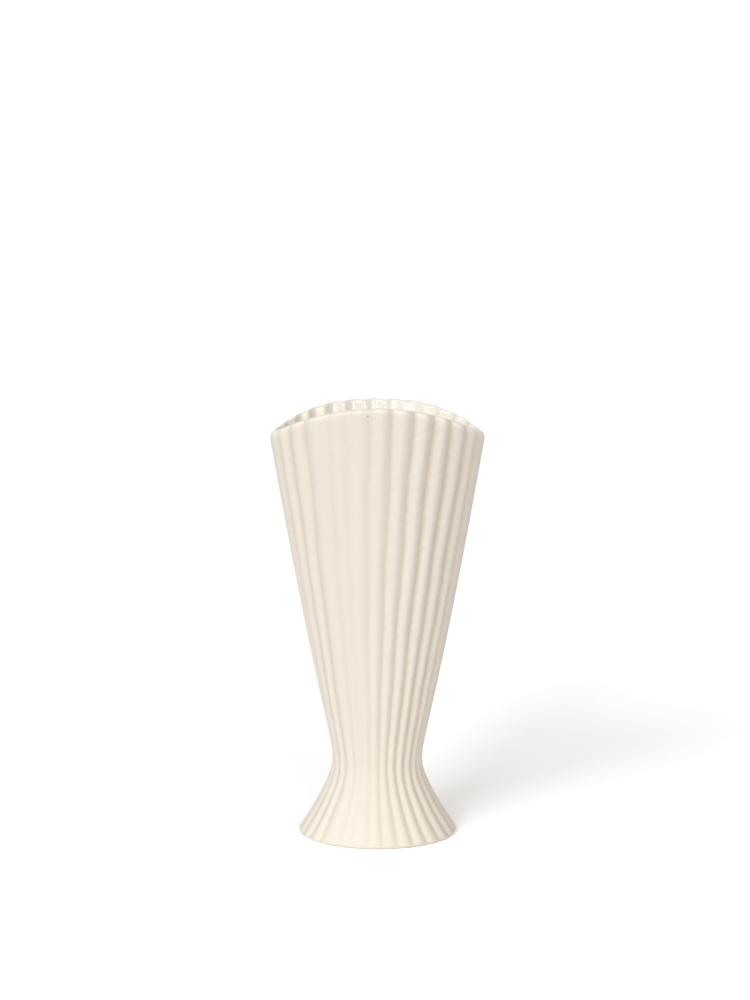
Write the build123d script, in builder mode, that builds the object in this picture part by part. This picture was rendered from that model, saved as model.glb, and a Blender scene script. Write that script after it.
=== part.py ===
from build123d import *
from math import cos, hypot, radians, sin
import os

# Fan vase in glazed ceramic. Millimetres, +Z up, origin at the middle of the foot's underside.
# The vessel and its foot are cast apart. A spigot under the vessel stands in a socket in the foot,
# and slip fills the seam between them. An oval floor closes the foot from below, set up against a
# ledge inside it and luted round its edge. Upright ribs run down the outside, through the seam.

# Overall sizes
vase_height = 300.0
mouth_width = 154.4
mouth_depth = 125.6
waist_width = 63.0
waist_depth = 61.4
foot_width = 110.8
foot_depth = 80.0
seam_level = 54.0

# Rim: its crown is at the middle of the front and the back. At the ends of the mouth's width
# its arch lies this far below the crown.
rim_drop = 23.2

# Flares, each drawn from the waist to its widest line. A softness rounds the waist, and a power
# over 1 makes the flare open late. The bands are the steps that each flare is lofted in.
vessel_softness = 0.06
vessel_width_power = 0.85
vessel_depth_power = 1.35
vessel_bands = 10
band_growth = 1.2
foot_softness = 0.29
foot_power = 1.12
foot_bands = 9
hollow_bands = 3

# Ribs: a rib's rise over its pitch at the mouth and waist, at the foot's edge and inside, and how
# far the first valley is shifted round the oval, in pitches. Inside, the ribs grow from a level
# given as a share of the way from the waist to the crown.
rib_count = 28
rib_rise_share = 0.12
foot_rise_share = 0.075
inner_rise_share = 0.07
inner_start_share = 0.68
mouth_shift_share = -0.2
waist_shift_share = -0.67
foot_shift_share = -0.5

# Walls
wall = 4.0
neck_wall = 6.5

# Spigot, socket and the slip between them
spigot_length = 8.0
spigot_wall = 2.6
slip_thickness = 0.8

# Foot ring, the ledge inside it and the floor set against the ledge
foot_edge_round = 2.5
edge_angles = (50, 90)
foot_ring = 5.5
ledge_level = 9.5
ledge_reach = 2.5
floor_thickness = 5.0
floor_gap = 0.8

# How far a cutting shape, or a loft that is cut, runs past what it cuts or is cut by
overrun = 5.0

# Sizes worked out from the named ones
bore_width = waist_width - 2 * neck_wall
bore_depth = waist_depth - 2 * neck_wall
spigot_width = bore_width + 2 * spigot_wall
spigot_depth = bore_depth + 2 * spigot_wall
socket_width = spigot_width + 2 * slip_thickness
socket_depth = spigot_depth + 2 * slip_thickness
spigot_end = seam_level - spigot_length
recess_width = foot_width - 2 * (foot_edge_round + foot_ring)
recess_depth = foot_depth - 2 * (foot_edge_round + foot_ring)
hollow_width = recess_width - 2 * ledge_reach
hollow_depth = recess_depth - 2 * ledge_reach
floor_width = recess_width - 2 * floor_gap
floor_depth = recess_depth - 2 * floor_gap
floor_level = ledge_level - floor_thickness
rim_half = mouth_width / 2
rim_end = vase_height - rim_drop


def between(start, end, share):
    """The value that lies a share of the way from start to end."""
    return start + (end - start) * share


def flare(share, softness, power):
    """How far a flare has opened at a share of the way from the waist to its widest line."""
    straight = (hypot(softness, share) - softness) / (hypot(softness, 1) - softness)
    return straight**power


def oval(width, depth):
    """The edge of an ellipse of full width and depth about the axis."""
    return Edge.make_ellipse(width / 2, depth / 2)


def ribbed_outline(width, depth, rise_share, shift_share):
    """Arched ribs round an oval, whose crests touch the given width and depth, or flat sides where
    they have no rise. The ribs have one pitch round the mouth, and every other outline is the
    mouth's, narrowed."""
    mouth = oval(mouth_width, mouth_depth)
    rise = rise_share * oval(width, depth).length / rib_count
    across = (width - 2 * rise) / mouth_width
    through = (depth - 2 * rise) / mouth_depth
    places = []
    for rib in range(rib_count):
        place = mouth @ (((rib + shift_share) / rib_count) % 1.0)
        places.append(Vector(place.X * across, place.Y * through))
    with BuildSketch(mode=Mode.PRIVATE) as outline:
        with BuildLine():
            for start, end in zip(places, places[1:] + places[:1]):
                if rise == 0:
                    Line(start, end)
                else:
                    chord = end - start
                    outwards = Vector(chord.Y, -chord.X) * (2 * rise / chord.length)
                    Bezier(start, (start + end) / 2 + outwards, end)
        make_face()
    return outline.sketch


def vessel_levels():
    """The levels of the vessel's sections, closest at the waist, past the crown at the top."""
    steps = range(vessel_bands + 1)
    top = vase_height + overrun
    return [between(seam_level, top, (step / vessel_bands) ** band_growth) for step in steps]


def vessel_section(level, waist_sizes, mouth_sizes, rise_share):
    """The vessel's ribbed outline at a level, between its sizes at the waist and the mouth."""
    share = (level - seam_level) / (vase_height - seam_level)
    return ribbed_outline(
        between(waist_sizes[0], mouth_sizes[0], flare(share, vessel_softness, vessel_width_power)),
        between(waist_sizes[1], mouth_sizes[1], flare(share, 0, vessel_depth_power)),
        rise_share,
        between(waist_shift_share, mouth_shift_share, share),
    )


# Vessel: a ribbed shell from the shoulder to the arched rim, with the spigot below it
with BuildPart() as fan_body:
    for level in vessel_levels():
        with BuildSketch(Plane.XY.offset(level)):
            add(
                vessel_section(
                    level, (waist_width, waist_depth), (mouth_width, mouth_depth), rib_rise_share
                )
            )
    loft(ruled=True)
    with BuildSketch(Plane.XY.offset(spigot_end)):
        Ellipse(spigot_width / 2, spigot_depth / 2)
    extrude(amount=seam_level - spigot_end)
    for level in vessel_levels():
        start = between(seam_level, vase_height, inner_start_share)
        grown = max(0, (level - start) / (vase_height - start))
        with BuildSketch(Plane.XY.offset(level)):
            add(
                vessel_section(
                    level,
                    (bore_width, bore_depth),
                    (mouth_width - 2 * wall, mouth_depth - 2 * wall),
                    inner_rise_share * grown,
                )
            )
    loft(ruled=True, mode=Mode.SUBTRACT)
    with BuildSketch(Plane.XY.offset(spigot_end)):
        add(ribbed_outline(bore_width, bore_depth, 0, waist_shift_share))
    extrude(amount=seam_level - spigot_end, mode=Mode.SUBTRACT)
    with BuildSketch(Plane.XZ):
        with BuildLine():
            ThreePointArc((-rim_half, rim_end), (0, vase_height), (rim_half, rim_end))
            Polyline(
                (rim_half, rim_end),
                (rim_half + overrun, rim_end),
                (rim_half + overrun, vase_height + 2 * overrun),
                (-rim_half - overrun, vase_height + 2 * overrun),
                (-rim_half - overrun, rim_end),
                (-rim_half, rim_end),
            )
        make_face()
    extrude(amount=mouth_depth, both=True, mode=Mode.SUBTRACT)
fan_body.part.label = "fan_body"

# Slip in the waist's seam, round the spigot
with BuildPart() as waist_slip:
    with BuildSketch(Plane.XY.offset(spigot_end)):
        Ellipse(socket_width / 2, socket_depth / 2)
        Ellipse(spigot_width / 2, spigot_depth / 2, mode=Mode.SUBTRACT)
    extrude(amount=spigot_length)
waist_slip.part.label = "waist_slip"

# Foot: a ribbed flare with a rounded bottom edge, hollow inside, with a socket at its top
with BuildPart() as foot:
    for angle in reversed(edge_angles):
        level = foot_edge_round * (1 - sin(radians(angle)))
        inset = foot_edge_round * (1 - cos(radians(angle)))
        with BuildSketch(Plane.XY.offset(level)):
            add(
                ribbed_outline(
                    foot_width - 2 * inset, foot_depth - 2 * inset, foot_rise_share, foot_shift_share
                )
            )
    for step in range(foot_bands + 1):
        share = 1 - step / foot_bands
        opened = flare(share, foot_softness, foot_power)
        with BuildSketch(Plane.XY.offset(between(seam_level, foot_edge_round, share))):
            add(
                ribbed_outline(
                    between(waist_width, foot_width, opened),
                    between(waist_depth, foot_depth, opened),
                    between(rib_rise_share, foot_rise_share, share),
                    between(waist_shift_share, foot_shift_share, share),
                )
            )
    loft(ruled=True)
    with BuildSketch(Plane.XY.offset(spigot_end)):
        Ellipse(socket_width / 2, socket_depth / 2)
    extrude(amount=spigot_length, mode=Mode.SUBTRACT)
    for step in range(hollow_bands + 1):
        share = step / hollow_bands
        with BuildSketch(Plane.XY.offset(between(ledge_level, spigot_end, share))):
            add(
                ribbed_outline(
                    between(hollow_width, bore_width, share),
                    between(hollow_depth, bore_depth, share),
                    0,
                    waist_shift_share,
                )
            )
    loft(ruled=True, mode=Mode.SUBTRACT)
    with BuildSketch():
        Ellipse(recess_width / 2, recess_depth / 2)
    extrude(amount=ledge_level, mode=Mode.SUBTRACT)
foot.part.label = "foot"

# Floor: an oval plate whose top bears on the ledge inside the foot
with BuildPart() as base_plate:
    with BuildSketch(Plane.XY.offset(floor_level)):
        Ellipse(floor_width / 2, floor_depth / 2)
    extrude(amount=floor_thickness)
base_plate.part.label = "base_plate"

# Slip round the floor's edge
with BuildPart() as base_slip:
    with BuildSketch(Plane.XY.offset(floor_level)):
        Ellipse(recess_width / 2, recess_depth / 2)
        Ellipse(floor_width / 2, floor_depth / 2, mode=Mode.SUBTRACT)
    extrude(amount=floor_thickness)
base_slip.part.label = "base_slip"

os.makedirs("parts", exist_ok=True)
for piece in (fan_body, waist_slip, foot, base_plate, base_slip):
    export_step(piece.part, f"parts/{piece.part.label}.step")
    print(piece.part.label, round(piece.part.volume), "mm3")
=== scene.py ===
import logging
import math
from dataclasses import dataclass, field
from enum import Enum
from typing import NamedTuple

import bpy
import numpy as np
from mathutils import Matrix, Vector


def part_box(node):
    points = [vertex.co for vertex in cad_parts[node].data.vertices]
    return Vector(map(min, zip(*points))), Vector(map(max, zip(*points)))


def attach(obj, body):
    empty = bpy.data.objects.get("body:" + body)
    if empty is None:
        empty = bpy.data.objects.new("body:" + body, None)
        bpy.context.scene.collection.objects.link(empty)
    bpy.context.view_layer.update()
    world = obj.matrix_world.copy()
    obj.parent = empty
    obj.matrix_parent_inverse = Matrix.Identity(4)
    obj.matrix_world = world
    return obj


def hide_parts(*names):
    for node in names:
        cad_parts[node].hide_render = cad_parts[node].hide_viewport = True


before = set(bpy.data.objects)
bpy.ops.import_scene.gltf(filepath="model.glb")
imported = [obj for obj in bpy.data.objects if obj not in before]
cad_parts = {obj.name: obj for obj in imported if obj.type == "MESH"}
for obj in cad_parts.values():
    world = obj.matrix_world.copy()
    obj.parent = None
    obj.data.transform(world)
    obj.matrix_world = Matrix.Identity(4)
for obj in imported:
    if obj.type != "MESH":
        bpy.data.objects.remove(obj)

log = logging.getLogger("fan_vase")

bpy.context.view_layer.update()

# A step's start and end, an oval's half-sizes across and through the vase, three numbers along
# the axes or of a lamp's colour, and a surface's colour with its alpha
Band = tuple[float, float]
Oval = tuple[float, float]
Triple = tuple[float, float, float]
Colour = tuple[float, float, float, float]

# The number that noise swings about
NOISE_MIDDLE = 0.5


class Side(Enum):
    """Which face of the wall a ring of points lies on."""

    OUTSIDE = "outside"
    INSIDE = "inside"


class Mark(Enum):
    """What a mesh says of the glaze at each of its points."""

    VALLEY = "valley"
    # Glossy glaze, which the glaze's colour also paints paler as painted light
    GLOSSY = "glossy"
    BARE = "bare"


@dataclass(frozen=True)
class Mottle:
    """Soft noise: the size of its blotches in metres, how many finer layers it has, and how many
    times closer together its blotches are along each axis."""

    size: float
    detail: float = 2.0
    stretch: Triple = (1, 1, 1)


@dataclass(frozen=True)
class Specks:
    """Sparse round specks. Each cell, one spacing wide, has a random number, and its speck comes in
    as that rises through the rare band. The share is how much of a speck's colour shows, and the
    core share is the part of its radius where it is at its strongest. Lengths are in metres."""

    spacing: float
    radius: float
    share: float
    rare: Band = (0.8, 0.9)
    core_share: float = 0.4


@dataclass(frozen=True)
class Pinhole:
    """One pinhole in the glaze. The squeeze makes it longer upwards than across, and reach into the
    wall. The share is how much of its colour shows, and the core share is the part of its radius
    where it is at its strongest."""

    centre: Triple
    radius: float
    share: float
    squeeze: Triple = (1.0, 0.1, 0.5)
    core_share: float = 0.3


class Value:
    """A shader socket that carries a number and can be used in Python sums."""

    def __init__(self, tree: "Tree", socket: bpy.types.NodeSocket) -> None:
        """Keep the socket with the tree that it belongs to."""
        self.tree = tree
        self.socket = socket

    def _sum(self, operation: str, *numbers: "Value | float") -> "Value":
        """Add one Math node.

        Args:
            operation: the node's operation.
            numbers: what goes into its sockets, in order.

        Returns:
            The node's result.
        """
        made = self.tree.node("ShaderNodeMath", {"operation": operation}, dict(enumerate(numbers)))
        return Value(self.tree, made.outputs[0])

    def __add__(self, other: "Value | float") -> "Value":
        """This value plus another."""
        return self._sum("ADD", self, other)

    def __radd__(self, other: float) -> "Value":
        """A number plus this value."""
        return self._sum("ADD", other, self)

    def __sub__(self, other: "Value | float") -> "Value":
        """This value less another."""
        return self._sum("SUBTRACT", self, other)

    def __rsub__(self, other: float) -> "Value":
        """A number less this value."""
        return self._sum("SUBTRACT", other, self)

    def __mul__(self, other: "Value | float") -> "Value":
        """This value times another."""
        return self._sum("MULTIPLY", self, other)

    def __rmul__(self, other: float) -> "Value":
        """A number times this value."""
        return self._sum("MULTIPLY", other, self)

    def larger(self, other: "Value | float") -> "Value":
        """The larger of this value and another."""
        return self._sum("MAXIMUM", self, other)

    def step(self, band: Band) -> "Value":
        """Turn the value into a smooth step.

        Args:
            band: where the step is 0 and where it is 1, the larger of them first or last.

        Returns:
            The step, from 0 to 1.
        """
        made = self.tree.node(
            "ShaderNodeMapRange",
            {"interpolation_type": "SMOOTHSTEP", "clamp": True},
            {"Value": self, "From Min": band[0], "From Max": band[1]},
        )
        return Value(self.tree, made.outputs["Result"])


class Tree:
    """The nodes of one material or world, and the one way in which nodes are added to them."""

    # A Mix node's sockets for its factor and its two colours, and its output for the new colour
    mix_share = 0
    mix_first = 6
    mix_second = 7
    mix_result = 2

    def __init__(self, owner: bpy.types.Material | bpy.types.World) -> None:
        """Start with no nodes.

        Args:
            owner: the material or world whose nodes they are.
        """
        self.owner = owner
        owner.use_nodes = True
        self.nodes = owner.node_tree.nodes
        self.links = owner.node_tree.links
        self.nodes.clear()

    def node(
        self,
        kind: str,
        settings: dict[str, object] | None = None,
        inputs: dict[str | int, object] | None = None,
    ) -> bpy.types.Node:
        """Add a node.

        Args:
            kind: the node's type.
            settings: what is set on the node before its sockets, by name.
            inputs: the numbers, colours, sockets or values of its sockets, by name or place.

        Returns:
            The new node.
        """
        made = self.nodes.new(kind)
        for name, setting in (settings or {}).items():
            setattr(made, name, setting)
        for name, given in (inputs or {}).items():
            if isinstance(given, Value):
                self.links.new(given.socket, made.inputs[name])
            elif isinstance(given, bpy.types.NodeSocket):
                self.links.new(given, made.inputs[name])
            else:
                made.inputs[name].default_value = given
        return made

    def mark(self, mark: Mark) -> Value:
        """What the mesh says under that mark, from 0 to 1."""
        return Value(self, self.node("ShaderNodeAttribute", {"attribute_name": mark.value}).outputs["Fac"])

    def shown(self) -> Value:
        """Tell what the camera sees from what only sheds light on other things.

        Returns:
            1 where the camera sees the point, also in a reflection or through glass, and 0 elsewhere.
        """
        paths = self.node("ShaderNodeLightPath")
        seen, mirrored, through = (
            Value(self, paths.outputs[name])
            for name in ("Is Camera Ray", "Is Glossy Ray", "Is Transmission Ray")
        )
        return seen.larger(mirrored).larger(through)

    def place(self, stretch: Triple = (1, 1, 1)) -> bpy.types.NodeSocket:
        """Find where the shaded point lies, in the vase's own frame.

        Args:
            stretch: how much its place is stretched along each axis.

        Returns:
            The socket of the stretched place.
        """
        point = self.node("ShaderNodeTexCoord").outputs["Object"]
        made = self.node("ShaderNodeVectorMath", {"operation": "MULTIPLY"}, {0: point, 1: stretch})
        return made.outputs[0]

    def noise(self, mottle: Mottle) -> Value:
        """Add soft noise that is fixed to the vase.

        Args:
            mottle: its size, detail and stretch.

        Returns:
            The noise, which swings about its middle.
        """
        made = self.node(
            "ShaderNodeTexNoise",
            {"noise_dimensions": "3D"},
            {"Vector": self.place(mottle.stretch), "Scale": 1 / mottle.size, "Detail": mottle.detail},
        )
        return Value(self, made.outputs["Fac"])

    def specks(self, specks: Specks) -> Value:
        """Add sparse specks.

        Args:
            specks: their sizes.

        Returns:
            Their share on a speck and 0 beside it.
        """
        cells = self.node(
            "ShaderNodeTexVoronoi",
            {"feature": "F1"},
            {"Vector": self.place(), "Scale": 1 / specks.spacing, "Randomness": 1.0},
        )
        chosen = self.node("ShaderNodeSeparateColor", inputs={"Color": cells.outputs["Color"]})
        rare = Value(self, chosen.outputs["Red"]).step(specks.rare)
        edge = specks.radius / specks.spacing
        inside = Value(self, cells.outputs["Distance"]).step((edge, specks.core_share * edge))
        return inside * rare * specks.share

    def pinhole(self, hole: Pinhole) -> Value:
        """Add one pinhole.

        Args:
            hole: its place and sizes.

        Returns:
            Its share in the pinhole and 0 beside it.
        """
        middle = tuple(number * share for number, share in zip(hole.centre, hole.squeeze))
        away = self.node(
            "ShaderNodeVectorMath", {"operation": "DISTANCE"}, {0: self.place(hole.squeeze), 1: middle}
        )
        inside = Value(self, away.outputs["Value"]).step((hole.radius, hole.core_share * hole.radius))
        return inside * hole.share

    def colour(self, share: Value, first: object, second: object) -> bpy.types.NodeSocket:
        """Lay one colour over another.

        Args:
            share: how much of the second shows.
            first: a colour or a colour's socket.
            second: a colour or a colour's socket.

        Returns:
            The socket of the new colour.
        """
        made = self.node(
            "ShaderNodeMix",
            {"data_type": "RGBA", "clamp_factor": True},
            {self.mix_share: share, self.mix_first: first, self.mix_second: second},
        )
        return made.outputs[self.mix_result]

    def mixed(self, share: Value, first: bpy.types.Node, second: bpy.types.Node) -> bpy.types.NodeSocket:
        """Mix two shaders.

        Args:
            share: how much of the second shows.
            first: a shader.
            second: a shader.

        Returns:
            The socket of the mixed shader.
        """
        shaders = {1: first.outputs[0], 2: second.outputs[0]}
        return self.node("ShaderNodeMixShader", inputs={0: share, **shaders}).outputs[0]

    def bump(self, height: Value, depth: float, strength: float) -> bpy.types.NodeSocket:
        """Turn a height into a normal.

        Args:
            height: the relief, from 0 to 1.
            depth: how deep the relief is, in metres.
            strength: how much of it shows.

        Returns:
            The socket of the new normal.
        """
        inputs = {"Height": height, "Distance": depth, "Strength": strength}
        return self.node("ShaderNodeBump", inputs=inputs).outputs["Normal"]

    def surface(self, inputs: dict[str, object]) -> bpy.types.Material:
        """Finish the material with one Principled shader.

        Args:
            inputs: the shader's sockets, by name.

        Returns:
            The finished material.
        """
        shader = self.node("ShaderNodeBsdfPrincipled", inputs=inputs)
        self.node("ShaderNodeOutputMaterial", inputs={"Surface": shader.outputs[0]})
        return self.owner


@dataclass(frozen=True)
class CreamGlaze:
    """The cream glaze: satin outside, glossy inside and over the lip, thin on the crests of the ribs and
    deeper in the valleys, where it is painted darker, partly pooled glaze and partly painted shade. Where
    it is glossy it is painted paler, partly a paler lining glaze and partly painted light. It is wiped off
    where the mesh is marked bare."""

    name: str = "cream_glaze"
    body: Colour = (0.845, 0.795, 0.71, 1)
    thin: Colour = (0.855, 0.81, 0.73, 1)
    # Darker valley colour: partly pooled glaze, partly painted shade in the valleys
    pooled_glaze_and_shade: Colour = (0.73, 0.66, 0.555, 1)
    warm: Colour = (0.85, 0.79, 0.695, 1)
    # Paler colour where the glaze is glossy: partly the lining glaze, partly painted light that brightens
    # the shaded inside
    milky_and_painted_light: Colour = (0.92, 0.895, 0.83, 1)
    speck: Colour = (0.16, 0.12, 0.08, 1)
    bare: Colour = (0.78, 0.72, 0.61, 1)

    # Where the glaze turns thin and where it pools and is painted darker as painted shade, as depths in a
    # valley
    thin_band: Band = (0.0, 0.55)
    pool_and_shade_band: Band = (0.45, 1.0)
    pool_and_shade_share: float = 0.7
    clouds: Mottle = Mottle(size=0.06, detail=3.0, stretch=(1, 1, 0.45))
    cloud_band: Band = (0.42, 0.68)
    cloud_share: float = 0.6
    # How much of that paler colour, painted light in part, shows where the glaze is glossy
    milky_and_painted_light_share: float = 0.95
    specks: Specks = Specks(spacing=0.045, radius=0.0007, share=0.75)
    pinhole: Pinhole = Pinhole(centre=(-0.0061, -0.0613, 0.2949), radius=0.00055, share=0.7)

    # Roughness of each kind of surface, and how far the fine and the broad unevenness swing it
    satin: float = 0.46
    gloss: float = 0.09
    bare_roughness: float = 0.85
    grain_swing: float = 0.14
    ripple_swing: float = 0.10

    # The clear coat on the glossy parts, and how much the glaze bends light
    coat: float = 0.8
    coat_roughness: float = 0.06
    refraction: float = 1.5

    # Relief: a broad ripple, a fine grain and finer pits, and the share of each
    ripple: Mottle = Mottle(size=0.012, stretch=(1, 1, 0.5))
    grain: Mottle = Mottle(size=0.0016)
    pits: Mottle = Mottle(size=0.0009, detail=1.0)
    ripple_share: float = 0.7
    grain_share: float = 0.2
    pit_share: float = 0.1
    relief_depth: float = 0.00025
    relief_strength: float = 0.6

    def paint(self, tree: Tree) -> bpy.types.NodeSocket:
        """Add the glaze's colour, with painted shade in the valleys, painted light where it is glossy, and
        the bare clay where it is wiped off.

        Args:
            tree: the glaze's nodes.

        Returns:
            The socket of the colour.
        """
        valley = tree.mark(Mark.VALLEY)
        crests = tree.colour(valley.step(self.thin_band), self.thin, self.body)
        # The valleys are painted darker, partly pooled glaze and partly painted shade
        pooled_glaze_and_shade = tree.colour(valley.step(self.pool_and_shade_band) * self.pool_and_shade_share, crests, self.pooled_glaze_and_shade)
        clouds = tree.noise(self.clouds).step(self.cloud_band)
        clouded = tree.colour(clouds * self.cloud_share, pooled_glaze_and_shade, self.warm)
        # Where the glaze is glossy it is painted paler, partly lining glaze and partly painted light
        lined_and_painted_light = tree.colour(tree.mark(Mark.GLOSSY) * self.milky_and_painted_light_share, clouded, self.milky_and_painted_light)
        specked = tree.colour(tree.specks(self.specks), lined_and_painted_light, self.speck)
        pinned = tree.colour(tree.pinhole(self.pinhole), specked, self.speck)
        return tree.colour(tree.mark(Mark.BARE), pinned, self.bare)

    def material(self) -> bpy.types.Material:
        """Build the glaze's nodes.

        Returns:
            The glaze's material.
        """
        tree = Tree(bpy.data.materials.new(self.name))
        glossy = tree.mark(Mark.GLOSSY)
        bare = tree.mark(Mark.BARE)
        ripple = tree.noise(self.ripple)
        grain = tree.noise(self.grain)
        pits = tree.noise(self.pits)
        swing = (grain - NOISE_MIDDLE) * self.grain_swing + (ripple - NOISE_MIDDLE) * self.ripple_swing
        glazed = (self.satin + swing) * (1 - glossy) + self.gloss * glossy
        relief = ripple * self.ripple_share + grain * self.grain_share + pits * self.pit_share
        return tree.surface(
            {
                "Base Color": self.paint(tree),
                "Roughness": glazed * (1 - bare) + self.bare_roughness * bare,
                "Coat Weight": glossy * self.coat * (1 - bare),
                "Coat Roughness": self.coat_roughness,
                "IOR": self.refraction,
                "Normal": tree.bump(relief, self.relief_depth, self.relief_strength),
            }
        )


@dataclass(frozen=True)
class BiscuitClay:
    """Fired clay without glaze: matt, a little darker than the glaze, with fine grog."""

    name: str = "biscuit_clay"
    body: Colour = (0.77, 0.70, 0.59, 1)
    damp: Colour = (0.70, 0.62, 0.50, 1)
    grog: Colour = (0.42, 0.33, 0.24, 1)
    clouds: Mottle = Mottle(size=0.03, detail=3.0)
    damp_band: Band = (0.35, 0.7)
    damp_share: float = 0.7
    grains: Specks = Specks(spacing=0.006, radius=0.0003, share=0.5)
    grain: Mottle = Mottle(size=0.0012, detail=3.0)
    roughness: float = 0.88
    roughness_swing: float = 0.12
    relief_depth: float = 0.0003
    relief_strength: float = 0.8

    def material(self) -> bpy.types.Material:
        """Build the clay's nodes.

        Returns:
            The clay's material.
        """
        tree = Tree(bpy.data.materials.new(self.name))
        damp = tree.noise(self.clouds).step(self.damp_band) * self.damp_share
        grain = tree.noise(self.grain)
        body = tree.colour(damp, self.body, self.damp)
        return tree.surface(
            {
                "Base Color": tree.colour(tree.specks(self.grains), body, self.grog),
                "Roughness": self.roughness + (grain - NOISE_MIDDLE) * self.roughness_swing,
                "Normal": tree.bump(grain, self.relief_depth, self.relief_strength),
            }
        )


@dataclass(frozen=True)
class FiredSlip:
    """Slip that was brushed round a joint: smoother than the clay, with brush lines along it."""

    name: str = "brushed_slip"
    body: Colour = (0.80, 0.735, 0.62, 1)
    worn: Colour = (0.74, 0.67, 0.55, 1)
    clouds: Mottle = Mottle(size=0.012)
    worn_band: Band = (0.4, 0.7)
    lines: Mottle = Mottle(size=0.004, detail=3.0, stretch=(1, 1, 9))
    roughness: float = 0.74
    roughness_swing: float = 0.15
    relief_depth: float = 0.0003
    relief_strength: float = 0.7

    def material(self) -> bpy.types.Material:
        """Build the slip's nodes.

        Returns:
            The slip's material.
        """
        tree = Tree(bpy.data.materials.new(self.name))
        lines = tree.noise(self.lines)
        worn = tree.noise(self.clouds).step(self.worn_band)
        return tree.surface(
            {
                "Base Color": tree.colour(worn, self.body, self.worn),
                "Roughness": self.roughness + (lines - NOISE_MIDDLE) * self.roughness_swing,
                "Normal": tree.bump(lines, self.relief_depth, self.relief_strength),
            }
        )


@dataclass(frozen=True)
class Flare:
    """How a wall opens from the waist: the softness rounds its start, and a power over 1 makes it
    open late."""

    softness: float
    power: float

    def opened(self, share: np.ndarray) -> np.ndarray:
        """Work out how far the wall has opened.

        Args:
            share: the level, as a share of the way from the waist to the wall's widest line.

        Returns:
            The share of its opening, from 0 at the waist to 1.
        """
        soft = self.softness
        way = np.maximum(share, 0)
        straight = (np.sqrt(soft**2 + way**2) - soft) / (math.sqrt(soft**2 + 1) - soft)
        return straight**self.power


class Wave(NamedTuple):
    """A slow wave in a valley's line: its length in metres, and its share of the wander."""

    length: float
    share: float


def spaced(start: float, end: float, count: int) -> np.ndarray:
    """Evenly spaced numbers from start to end, without the end."""
    return np.linspace(start, end, count, endpoint=False)


def eased(share: np.ndarray) -> np.ndarray:
    """A share that leaves 0 and reaches 1 gently."""
    return share**2 * (3 - 2 * share)


def grown(oval: Oval, length: float) -> Oval:
    """An oval whose half-sizes are a length larger, or smaller if the length is below 0."""
    return oval[0] + length, oval[1] + length


# How far each of the 28 valleys was cut aside by hand, in rib pitches. The rows run from the
# vase's right side to the middle of its back, its left side, the middle of its front and on
LEANS = (
    (-0.34, -0.3, -0.24, -0.2, -0.12, -0.1, -0.14)
    + (-0.2, -0.16, -0.08, -0.05, -0.12, -0.16, -0.2)
    + (-0.1, -0.04, -0.14, -0.17, -0.22, -0.02, -0.04)
    + (-0.03, -0.11, -0.18, -0.24, -0.27, -0.27, -0.3)
)

# How deep each of them was cut, as a share of the usual depth, in the same order
DEPTHS = (
    (1.3, 1.15, 1.1, 1.0, 1.0, 0.95, 1.05)
    + (1.0, 0.95, 1.0, 1.05, 1.0, 0.95, 0.9)
    + (1.0, 1.2, 1.4, 1.4, 1.25, 0.85, 0.7)
    + (0.85, 1.05, 1.2, 1.3, 1.4, 1.4, 1.35)
)


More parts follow.
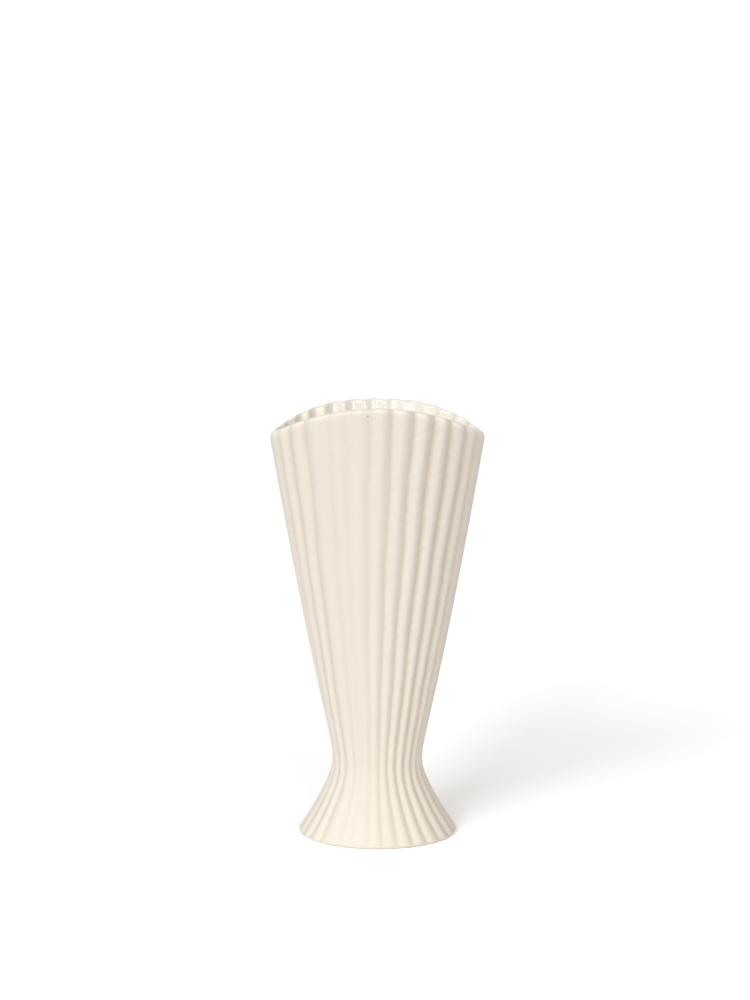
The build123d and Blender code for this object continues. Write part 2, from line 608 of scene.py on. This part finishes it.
@dataclass(frozen=True)
class VaseForm:
    """The shape that the vessel and the foot share: an oval that narrows to the waist and flares
    again below it, with upright ribs all round. Lengths are in metres."""

    # Levels, and the half-sizes of the oval that the crests touch
    height: float = 0.3
    seam: float = 0.054
    foot_edge: float = 0.0025
    mouth: Oval = (0.0772, 0.0628)
    waist: Oval = (0.0315, 0.0307)
    foot: Oval = (0.0554, 0.04)
    across_flare: Flare = Flare(softness=0.059, power=0.852)
    through_flare: Flare = Flare(softness=0.0, power=1.35)
    foot_flare: Flare = Flare(softness=0.293, power=1.116)

    # How much of its width and depth the wall keeps, so that it stays inside the solids' box
    slimming: float = 0.996

    # Rim: how far its arch lies below its crown at the ends of the mouth's width, how flat the
    # back arch is, how deep the valleys notch it behind, and the share of that in front
    rim_drop: float = 0.0232
    back_power: float = 2.7
    scallop: float = 0.0009
    front_scallop_share: float = 0.35

    # Ribs: the rise of each over its pitch, and how soft the valleys are, from 0 for a sharp crease
    ribs: int = 28
    points_per_rib: int = 14
    rise_share: float = 0.165
    foot_rise_share: float = 0.1
    crease: float = 0.22

    # The same inside, with the share of the way up at which the ribs start there, and the deepest
    # that they are cut, as a share of the usual depth
    inner_rise_share: float = 0.175
    inner_start_share: float = 0.5
    inner_crease: float = 0.7
    inner_deepest: float = 0.95

    # Below the trimmed level, the ribs fade to this share of their rise at the ground
    trimmed: float = 0.004
    trimmed_share: float = 0.25

    # How far the first valley is shifted round the oval at three levels, in pitches
    foot_shift: float = -0.5
    waist_shift: float = -0.67
    mouth_shift: float = -0.2

    # The maker's hand: leans and depths, a slow wander in pitches, and how uneven the depths are
    leans: tuple[float, ...] = LEANS
    depths: tuple[float, ...] = DEPTHS
    wander: float = 0.06
    wander_waves: tuple[Wave, ...] = (
        Wave(length=0.09, share=0.55),
        Wave(length=0.031, share=0.2),
        Wave(length=0.0097, share=0.22),
        Wave(length=0.0071, share=0.2),
    )
    uneven: float = 0.08
    seed: int = 7

    # The straight steps in which the mouth's edge is measured
    measuring_steps: int = 4000

    @property
    def columns(self) -> int:
        """How many points a ring has round the oval."""
        return self.ribs * self.points_per_rib

    def rows(self, levels: np.ndarray) -> np.ndarray:
        """Each level repeated for every point of its ring."""
        return np.broadcast_to(levels[:, None], (len(levels), self.columns))

    def risen(self, level: np.ndarray) -> np.ndarray:
        """The level as a share of the way from the seam up to the crown, and 0 below it."""
        return np.clip((level - self.seam) / (self.height - self.seam), 0, 1)

    def lowered(self, level: np.ndarray) -> np.ndarray:
        """The level as a share of the way from the seam down to the ground, and 0 above it."""
        return np.clip((self.seam - level) / self.seam, 0, 1)

    def outline(self, level: np.ndarray) -> list[np.ndarray]:
        """Work out the oval that the ribs' crests touch.

        Args:
            level: the height of each point.

        Returns:
            The oval's half-sizes across and through the vase, at each point.
        """
        up = (level - self.seam) / (self.height - self.seam)
        down = (self.seam - level) / (self.seam - self.foot_edge)
        spread = self.foot_flare.opened(np.minimum(down, 1))
        under = np.maximum(self.foot_edge - level, 0)
        turned_in = self.foot_edge - np.sqrt(np.maximum(self.foot_edge**2 - under**2, 0))
        sizes = []
        flares = (self.across_flare, self.through_flare)
        for waist, mouth, foot, flare in zip(self.waist, self.mouth, self.foot, flares):
            above = waist + (mouth - waist) * flare.opened(up)
            half = np.where(level < self.seam, waist + (foot - waist) * spread, above)
            sizes.append((half - turned_in) * self.slimming)
        return sizes

    def turn(self, share: np.ndarray) -> np.ndarray:
        """Turn places round the oval into angles of its ellipse. Equal steps round it are equally
        long on the mouth's edge.

        Args:
            share: each place, as a share of the way round.

        Returns:
            The angles.
        """
        angles = np.linspace(0, 2 * math.pi, self.measuring_steps + 1)
        across, through = self.mouth[0] * np.cos(angles), self.mouth[1] * np.sin(angles)
        travelled = np.concatenate([[0], np.cumsum(np.hypot(np.diff(across), np.diff(through)))])
        return np.interp(share % 1.0, travelled / travelled[-1], angles)

    def pitch(self, half_width: np.ndarray, half_depth: np.ndarray) -> np.ndarray:
        """The width of one rib on an oval, from the first two terms of the series for its edge."""
        both = half_width + half_depth
        return math.pi * both * (1 + ((half_width - half_depth) / both) ** 2 / 4) / self.ribs

    def place(self, level: np.ndarray) -> np.ndarray:
        """Each point's distance round the oval in ribs, counted from the first valley."""
        return np.broadcast_to(np.arange(self.columns) * self.ribs / self.columns, level.shape)

    def shift(self, level: np.ndarray) -> np.ndarray:
        """How far the ribs have drifted round the oval at each level, in pitches."""
        drift = self.waist_shift + (self.mouth_shift - self.waist_shift) * self.risen(level)
        return drift + (self.foot_shift - self.waist_shift) * self.lowered(level)

    def angle(self, level: np.ndarray, moved: np.ndarray) -> np.ndarray:
        """The ellipse's angle at each point of the wall, once its valleys are moved aside."""
        return self.turn((self.place(level) + moved + self.shift(level)) / self.ribs)

    def hand(self, level: np.ndarray) -> tuple[np.ndarray, np.ndarray]:
        """Work out the maker's hand in the ribs.

        Args:
            level: the height of each point, with one column for each place round the oval.

        Returns:
            How far aside the wall is moved, in pitches, and how deep its valleys are cut, as a share
            of the usual depth.
        """
        chance = np.random.default_rng(self.seed)
        starts = chance.uniform(0, 2 * math.pi, (len(self.wander_waves), self.ribs))
        depth = np.array(self.depths) * (1 + self.uneven * chance.uniform(-1, 1, self.ribs))
        place = self.place(level)
        before = np.floor(place).astype(int) % self.ribs
        after = (before + 1) % self.ribs
        within = place - np.floor(place)

        def aside(valley: np.ndarray) -> np.ndarray:
            """Work out how far aside a valley lies.

            Args:
                valley: the valley's number, for each point.

            Returns:
                How far aside it lies at the point's level, in pitches.
            """
            way = np.array(self.leans)[valley]
            for wave, start in zip(self.wander_waves, starts):
                swing = np.sin(2 * math.pi * level / wave.length + start[valley])
                way = way + self.wander * wave.share * swing
            return way

        moved = (1 - within) * aside(before) + within * aside(after)
        deep = (1 - within) * depth[before] + within * depth[after]
        return moved, deep

    def below(self, level: np.ndarray, crease: float) -> np.ndarray:
        """How far each point lies below the crests, from 0 to 1, with valleys of that softness."""
        wave = np.sin(math.pi * (self.place(level) % 1.0))
        return 1 - (np.sqrt(wave**2 + crease**2) - crease) / (math.sqrt(1 + crease**2) - crease)

    def outer_rise(self, level: np.ndarray) -> np.ndarray:
        """The rise of the ribs outside over their pitch, at each level."""
        rise = self.rise_share + (self.foot_rise_share - self.rise_share) * self.lowered(level)
        return rise * np.clip(level / self.trimmed, self.trimmed_share, 1)

    def inner_rise(self, level: np.ndarray) -> np.ndarray:
        """The rise of the ribs inside over their pitch, at each level."""
        start = self.inner_start_share
        return self.inner_rise_share * np.clip((self.risen(level) - start) / (1 - start), 0, 1)

    def wall(
        self, level: np.ndarray, side: Side, inset: np.ndarray | float = 0.0
    ) -> tuple[np.ndarray, np.ndarray]:
        """Lay points on the ribbed wall.

        Args:
            level: the height of each point, with one column for each place round the oval.
            side: which face of the wall they lie on.
            inset: how far that face is inside the crests' oval.

        Returns:
            The points, and how deep in a valley each one is, from 0 to 1.
        """
        moved, deep = self.hand(level)
        if side is Side.OUTSIDE:
            rise = self.outer_rise(level)
            below = self.below(level, self.crease)
        else:
            rise = self.inner_rise(level)
            below = self.below(level, self.inner_crease)
            deep = np.minimum(deep, self.inner_deepest)
        half_width, half_depth = self.outline(level)
        sunk = rise * self.pitch(half_width, half_depth) * below * deep
        half_width, half_depth = half_width - inset, half_depth - inset
        angle = self.angle(level, moved)
        away = np.stack([half_depth * np.cos(angle), half_width * np.sin(angle)], axis=-1)
        away /= np.linalg.norm(away, axis=-1, keepdims=True)
        across = half_width * np.cos(angle) - away[..., 0] * sunk
        through = half_depth * np.sin(angle) - away[..., 1] * sunk
        valley = below * np.minimum(deep / max(self.depths), 1)
        return np.stack([across, through, level], axis=-1), valley

    def plain_ring(self, oval: Oval, level: float) -> np.ndarray:
        """Lay points round a plain oval, each in line with its point on the ribbed wall.

        Args:
            oval: the oval's half-sizes.
            level: its height above the ground.

        Returns:
            One ring of points.
        """
        levels = np.full((1, self.columns), level)
        angle = self.angle(levels, self.hand(levels)[0])
        return np.stack([oval[0] * np.cos(angle), oval[1] * np.sin(angle), levels], axis=-1)

    def arch(self, points: np.ndarray, valley: np.ndarray) -> np.ndarray:
        """Find the level of the rim, a round arch at the front and a flatter, scalloped one behind.
        One gives way to the other over the middle half of the vase's depth.

        Args:
            points: points on the wall below the rim.
            valley: how deep in a valley each one is, from 0 to 1.

        Returns:
            The rim's level above each point.
        """
        half = self.mouth[0]
        across = np.minimum(np.abs(points[..., 0]), half)
        radius = (half**2 + self.rim_drop**2) / (2 * self.rim_drop)
        front = self.height - radius + np.sqrt(radius**2 - across**2)
        back = self.height - self.rim_drop * (across / half) ** self.back_power
        behind = eased(np.clip(points[..., 1] / self.mouth[1] + 1 / 2, 0, 1))
        notched = self.front_scallop_share + (1 - self.front_scallop_share) * behind
        return front + (back - front) * behind - self.scallop * valley * notched


@dataclass(frozen=True)
class WaistJoint:
    """The vessel's spigot in the foot's socket, with the slip between them. Both stand round one
    bore. Lengths are in metres."""

    waist: Oval
    neck_wall: float = 0.0065
    spigot_wall: float = 0.0026
    slip: float = 0.0008

    def bore(self) -> Oval:
        """The half-sizes of the bore through the waist."""
        return grown(self.waist, -self.neck_wall)

    def spigot(self) -> Oval:
        """The half-sizes of the spigot under the vessel."""
        return grown(self.bore(), self.spigot_wall)

    def socket(self) -> Oval:
        """The half-sizes of the socket in the foot."""
        return grown(self.spigot(), self.slip)

    def end(self) -> float:
        """The level of the spigot's end."""
        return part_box("fan_body")[0].z


@dataclass
class RingMesh:
    """A closed skin made of rings of points, each with the same number of points round it. Edges
    that turn by more than the sharp angle, in degrees, stay crisp."""

    name: str
    sharp_angle: float = 60.0
    rings: list[np.ndarray] = field(default_factory=list)
    marks: dict[Mark, list[np.ndarray]] = field(default_factory=lambda: {mark: [] for mark in Mark})

    def add(
        self,
        points: np.ndarray,
        valley: np.ndarray | float = 0.0,
        glossy: np.ndarray | float = 0.0,
        bare: np.ndarray | float = 0.0,
    ) -> None:
        """Add rings to the skin.

        Args:
            points: the rings' points, ring by ring.
            valley: how deep in a valley each point is, from 0 to 1.
            glossy: how glossy the glaze is there, from 0 to 1, which also paints it paler as painted
                light.
            bare: 1 where the clay is bare.
        """
        self.rings.append(points)
        for mark, given in ((Mark.VALLEY, valley), (Mark.GLOSSY, glossy), (Mark.BARE, bare)):
            self.marks[mark].append(np.broadcast_to(given, points.shape[:-1]))

    def build(self) -> bpy.types.Object:
        """Join each ring to the next and the last to the first.

        Returns:
            The new object.
        """
        points = np.concatenate(self.rings)
        corner = np.arange(points.shape[0] * points.shape[1]).reshape(points.shape[:2])
        beside = np.roll(corner, -1, axis=1)
        quads = np.stack(
            [corner, beside, np.roll(beside, -1, axis=0), np.roll(corner, -1, axis=0)], axis=-1
        )
        mesh = bpy.data.meshes.new(self.name)
        mesh.from_pydata(points.reshape(-1, 3).tolist(), [], quads.reshape(-1, 4).tolist())
        mesh.update()
        for mark, rows in self.marks.items():
            kept = mesh.attributes.new(mark.value, "FLOAT", "POINT")
            kept.data.foreach_set("value", np.concatenate(rows).ravel().astype(np.float32))
        mesh.shade_smooth()
        mesh.set_sharp_from_angle(angle=math.radians(self.sharp_angle))
        made = bpy.data.objects.new(self.name, mesh)
        bpy.context.scene.collection.objects.link(made)
        return made


@dataclass
class FanVessel:
    """The ribbed fan-shaped vessel, from the spigot under its shoulder to the rounded lip. Lengths
    are in metres."""

    form: VaseForm
    joint: WaistJoint
    glaze: bpy.types.Material
    wall: float = 0.004
    lip_height: float = 0.0027

    # The gloss at the lip's outer edge, and how far it reaches down the outside
    lip_gloss: float = 0.3
    gloss_reach: float = 0.0035

    # Rings of each part of the skin, and a power over 1 that brings the outer ones closer at the waist
    outer_rings: int = 165
    outer_power: float = 1.15
    inner_rings: int = 75
    lip_steps: int = 10

    # Rounds in which the wall's top edge settles under the arch
    rim_rounds: int = 12

    def rim(self, side: Side, inset: float) -> np.ndarray:
        """Find where the wall meets the rounding of the lip, just below the arch.

        Args:
            side: which face of the wall is meant.
            inset: how far that face is inside the crests' oval.

        Returns:
            The level at each place round the oval.
        """
        level = self.form.rows(np.array([self.form.height]))
        for _ in range(self.rim_rounds):
            points, valley = self.form.wall(level, side, inset)
            level = self.form.arch(points, valley) - self.lip_height
        return level

    def add_outside(self, skin: RingMesh, rim: np.ndarray) -> None:
        """Add the ribbed outside, from the seam to the lip, glossier close to the lip.

        Args:
            skin: what the rings are added to.
            rim: the level where the lip starts, at each place round the oval.
        """
        seam = self.form.seam
        share = spaced(0, 1, self.outer_rings)[:, None] ** self.outer_power
        level = seam + (rim - seam) * share
        points, valley = self.form.wall(level, Side.OUTSIDE)
        near_lip = np.clip(1 - (rim - level) / self.gloss_reach, 0, 1)
        skin.add(points, valley, self.lip_gloss * near_lip**2)

    def add_lip(self, skin: RingMesh, rim: np.ndarray, inner_rim: np.ndarray) -> None:
        """Add the rounded lip, over the arch from the outside to the inside.

        Args:
            skin: what the rings are added to.
            rim: the level where the lip starts outside, at each place round the oval.
            inner_rim: the level where it ends inside.
        """
        outer, outer_valley = self.form.wall(rim, Side.OUTSIDE)
        inner, inner_valley = self.form.wall(inner_rim, Side.INSIDE, self.wall)
        for step in range(self.lip_steps + 1):
            share = step / self.lip_steps
            ring = (outer + inner) / 2 + (outer - inner) / 2 * math.cos(math.pi * share)
            ring[..., 2] += self.lip_height * math.sin(math.pi * share)
            valley = outer_valley * (1 - share) + inner_valley * share
            skin.add(ring, valley, self.lip_gloss + (1 - self.lip_gloss) * share**2)

    def add_inside(self, skin: RingMesh, rim: np.ndarray) -> None:
        """Add the glossy inside, from the lip down towards the seam, where the wall is thickest.

        Args:
            skin: what the rings are added to.
            rim: the level where the lip ends inside, at each place round the oval.
        """
        seam = self.form.seam
        share = spaced(1, 0, self.inner_rings)[1:, None]
        level = seam + (rim - seam) * share
        inset = self.joint.neck_wall + (self.wall - self.joint.neck_wall) * share
        points, valley = self.form.wall(level, Side.INSIDE, inset)
        # Marked glossy, so this inside is also painted paler as painted light
        skin.add(points, valley, glossy=1.0)

    def add_spigot(self, skin: RingMesh) -> None:
        """Add the bore's end and the bare spigot round it.

        Args:
            skin: what the rings are added to.
        """
        seam, end = self.form.seam, self.joint.end()
        for level in (seam, end):
            skin.add(self.form.plain_ring(self.joint.bore(), level), glossy=1.0)
        for level in (end, seam):
            skin.add(self.form.plain_ring(self.joint.spigot(), level), bare=1.0)

    def build(self) -> bpy.types.Object:
        """Build the vessel's skin and glaze it.

        Returns:
            The vessel's object.
        """
        skin = RingMesh("vessel_ware")
        rim = self.rim(Side.OUTSIDE, 0.0)
        inner_rim = self.rim(Side.INSIDE, self.wall)
        self.add_outside(skin, rim)
        self.add_lip(skin, rim, inner_rim)
        self.add_inside(skin, inner_rim)
        self.add_spigot(skin)
        vessel = skin.build()
        vessel.data.materials.append(self.glaze)
        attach(vessel, "root")
        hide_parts("fan_body")
        log.info("%s: %d faces", vessel.name, len(vessel.data.polygons))
        return vessel


@dataclass
class FlaredFoot:
    """The ribbed foot below the seam, hollow, with its bare ring on the ground. Lengths are in
    metres, and the glaze thins out below the wiped level until none is left at the ground."""

    form: VaseForm
    joint: WaistJoint
    glaze: bpy.types.Material
    outer_rings: int = 44
    edge_steps: int = 8
    hollow_rings: int = 14
    foot_ring: float = 0.0055
    ledge_level: float = 0.0095
    ledge_reach: float = 0.0025
    wiped: float = 0.0012

    def add_outside(self, skin: RingMesh) -> None:
        """Add the ribbed outside, from the seam down and round the bottom edge.

        Args:
            skin: what the rings are added to.
        """
        edge = self.form.foot_edge
        turn = np.linspace(0, math.pi / 2, self.edge_steps + 1)
        down = spaced(self.form.seam, edge, self.outer_rings)
        level = self.form.rows(np.concatenate([down, edge * (1 - np.sin(turn))]))
        points, valley = self.form.wall(level, Side.OUTSIDE)
        skin.add(points, valley, bare=np.clip(1 - level / self.wiped, 0, 1))

    def add_hollow(self, skin: RingMesh) -> None:
        """Add the bare recess for the floor plate and the glazed hollow above its ledge.

        Args:
            skin: what the rings are added to.
        """
        recess = grown(self.form.foot, -self.form.foot_edge - self.foot_ring)
        hollow = grown(recess, -self.ledge_reach)
        bore = self.joint.bore()
        for level in (0.0, self.ledge_level):
            skin.add(self.form.plain_ring(recess, level), bare=1.0)
        for share in np.linspace(0, 1, self.hollow_rings):
            narrowed = tuple(half + (end - half) * share for half, end in zip(hollow, bore))
            level = self.ledge_level + (self.joint.end() - self.ledge_level) * share
            skin.add(self.form.plain_ring(narrowed, level), glossy=1.0)

    def add_socket(self, skin: RingMesh) -> None:
        """Add the bare socket for the vessel's spigot."""
        for level in (self.joint.end(), self.form.seam):
            skin.add(self.form.plain_ring(self.joint.socket(), level), bare=1.0)

    def build(self) -> bpy.types.Object:
        """Build the foot's skin and glaze it.

        Returns:
            The foot's object.
        """
        skin = RingMesh("foot_ware")
        self.add_outside(skin)
        self.add_hollow(skin)
        self.add_socket(skin)
        foot = skin.build()
        foot.data.materials.append(self.glaze)
        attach(foot, "root")
        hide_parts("foot")
        log.info("%s: %d faces", foot.name, len(foot.data.polygons))
        return foot


@dataclass
class UnglazedPieces:
    """The floor plate and the two rings of slip, which keep their CAD shapes."""

    clay: BiscuitClay = BiscuitClay()
    slip: FiredSlip = FiredSlip()

    def dress(self, node: str, material: bpy.types.Material) -> None:
        """Give a CAD node a finish.

        Args:
            node: the node's name.
            material: its new material.
        """
        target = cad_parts[node]
        if not target.material_slots:
            target.data.materials.append(material)
        for slot in target.material_slots:
            slot.material = material
        log.info("%s: %s", node, material.name)

    def build(self) -> None:
        """Dress the three pieces."""
        slip = self.slip.material()
        self.dress("base_plate", self.clay.material())
        self.dress("waist_slip", slip)
        self.dress("base_slip", slip)


@dataclass(frozen=True)
class SoftLamp:
    """A distant lamp. Its azimuth runs from the front to the left and its spread is how wide it
    looks from the vase, both in degrees."""

    name: str
    azimuth: float
    elevation: float
    spread: float
    strength: float
    colour: Triple = (1.0, 1.0, 1.0)

    def build(self) -> bpy.types.Object:
        """Hang the lamp.

        Returns:
            The lamp's object.
        """
        light = bpy.data.lights.new(self.name, "SUN")
        light.angle = math.radians(self.spread)
        light.energy = self.strength
        light.color = self.colour
        lamp = bpy.data.objects.new(self.name, light)
        turn = math.radians(self.azimuth)
        lift = math.radians(self.elevation)
        way = Vector((-math.sin(turn) * math.cos(lift), -math.cos(turn) * math.cos(lift), math.sin(lift)))
        lamp.location = way
        lamp.rotation_euler = (-way).to_track_quat("-Z", "Y").to_euler()
        bpy.context.scene.collection.objects.link(lamp)
        log.info("%s: hung", self.name)
        return lamp


@dataclass
class Studio:
    """A white floor and backdrop, a key lamp at the front left, two windows that shine in the
    glossy lining, broad panels at both sides of the front, and even light all round. The floor has
    one white by which it lights the vase and another that the camera sees."""

    lamps: tuple[SoftLamp, ...] = (
        SoftLamp(
            "key_lamp",
            azimuth=38.0,
            elevation=32.5,
            spread=34.0,
            strength=1.1,
            colour=(0.985, 0.985, 0.985),
        ),
        SoftLamp("left_window", azimuth=24.0, elevation=18.0, spread=9.0, strength=0.17),
        SoftLamp("right_window", azimuth=-20.0, elevation=18.0, spread=8.0, strength=0.12),
        SoftLamp(
            "left_panel",
            azimuth=75.0,
            elevation=14.0,
            spread=60.0,
            strength=0.36,
            colour=(0.97, 0.985, 1.0),
        ),
        SoftLamp(
            "right_panel",
            azimuth=-18.0,
            elevation=16.0,
            spread=50.0,
            strength=0.93,
            colour=(1.0, 0.945, 0.85),
        ),
    )
    floor_half: float = 12.0
    floor_white: Colour = (0.855, 0.87, 0.89, 1)
    shown_white: Colour = (1.68, 1.73, 1.84, 1)
    sky: float = 0.32
    sky_colour: Colour = (1.0, 0.94, 0.86, 1)
    backdrop: float = 1.0
    backdrop_white: Colour = (1, 1, 1, 1)

    def floor(self) -> bpy.types.Object:
        """Lay the white floor, which keeps the vase's shadow.

        Returns:
            The floor's object.
        """
        half = self.floor_half
        mesh = bpy.data.meshes.new("studio_floor")
        corners = [(-half, -half, 0), (half, -half, 0), (half, half, 0), (-half, half, 0)]
        mesh.from_pydata(corners, [], [(0, 1, 2, 3)])
        floor = bpy.data.objects.new("studio_floor", mesh)
        bpy.context.scene.collection.objects.link(floor)
        tree = Tree(bpy.data.materials.new("white_floor"))
        lighting = tree.node("ShaderNodeBsdfDiffuse", inputs={"Color": self.floor_white})
        showing = tree.node("ShaderNodeBsdfDiffuse", inputs={"Color": self.shown_white})
        both = tree.mixed(tree.shown(), lighting, showing)
        tree.node("ShaderNodeOutputMaterial", inputs={"Surface": both})
        mesh.materials.append(tree.owner)
        return floor

    def world(self) -> None:
        """Light the vase evenly from all round, and show white behind it."""
        world = bpy.data.worlds.new("studio_world")
        bpy.context.scene.world = world
        tree = Tree(world)
        kind = "ShaderNodeBackground"
        soft = tree.node(kind, inputs={"Color": self.sky_colour, "Strength": self.sky})
        white = tree.node(kind, inputs={"Color": self.backdrop_white, "Strength": self.backdrop})
        both = tree.mixed(tree.shown(), soft, white)
        tree.node("ShaderNodeOutputWorld", inputs={"Surface": both})

    def build(self) -> None:
        """Set up the floor, the world and the lamps."""
        self.floor()
        self.world()
        for lamp in self.lamps:
            lamp.build()
        bpy.context.scene.view_settings.view_transform = "Standard"


@dataclass
class PhotoCamera:
    """A camera in front of the vase at the photo's height, distance and tilt. Its place and reach
    are in metres, its lens and film in millimetres and its tilt in degrees."""

    aside: float = -0.0016
    distance: float = 0.989
    height: float = 0.357
    tilt: float = 7.10
    lens: float = 35.0
    film: float = 24.0
    reach: float = 50.0

    def build(self) -> bpy.types.Object:
        """Set up the camera.

        Returns:
            The camera's object.
        """
        data = bpy.data.cameras.new("photo_camera")
        data.sensor_fit = "VERTICAL"
        data.sensor_height = self.film
        data.lens = self.lens
        data.clip_end = self.reach
        camera = bpy.data.objects.new("photo_camera", data)
        camera.location = (self.aside, -self.distance, self.height)
        camera.rotation_euler = (math.radians(90 - self.tilt), 0, 0)
        bpy.context.scene.collection.objects.link(camera)
        bpy.context.scene.camera = camera
        log.info("%s: set up", camera.name)
        return camera


def main() -> None:
    """Build the vase, its finishes, the studio and the camera."""
    logging.basicConfig(level=logging.INFO, format="%(message)s")
    PhotoCamera().build()
    form = VaseForm()
    joint = WaistJoint(form.waist)
    glaze = CreamGlaze().material()
    FanVessel(form, joint, glaze).build()
    FlaredFoot(form, joint, glaze).build()
    UnglazedPieces().build()
    Studio().build()


if __name__ == "__main__":
    main()
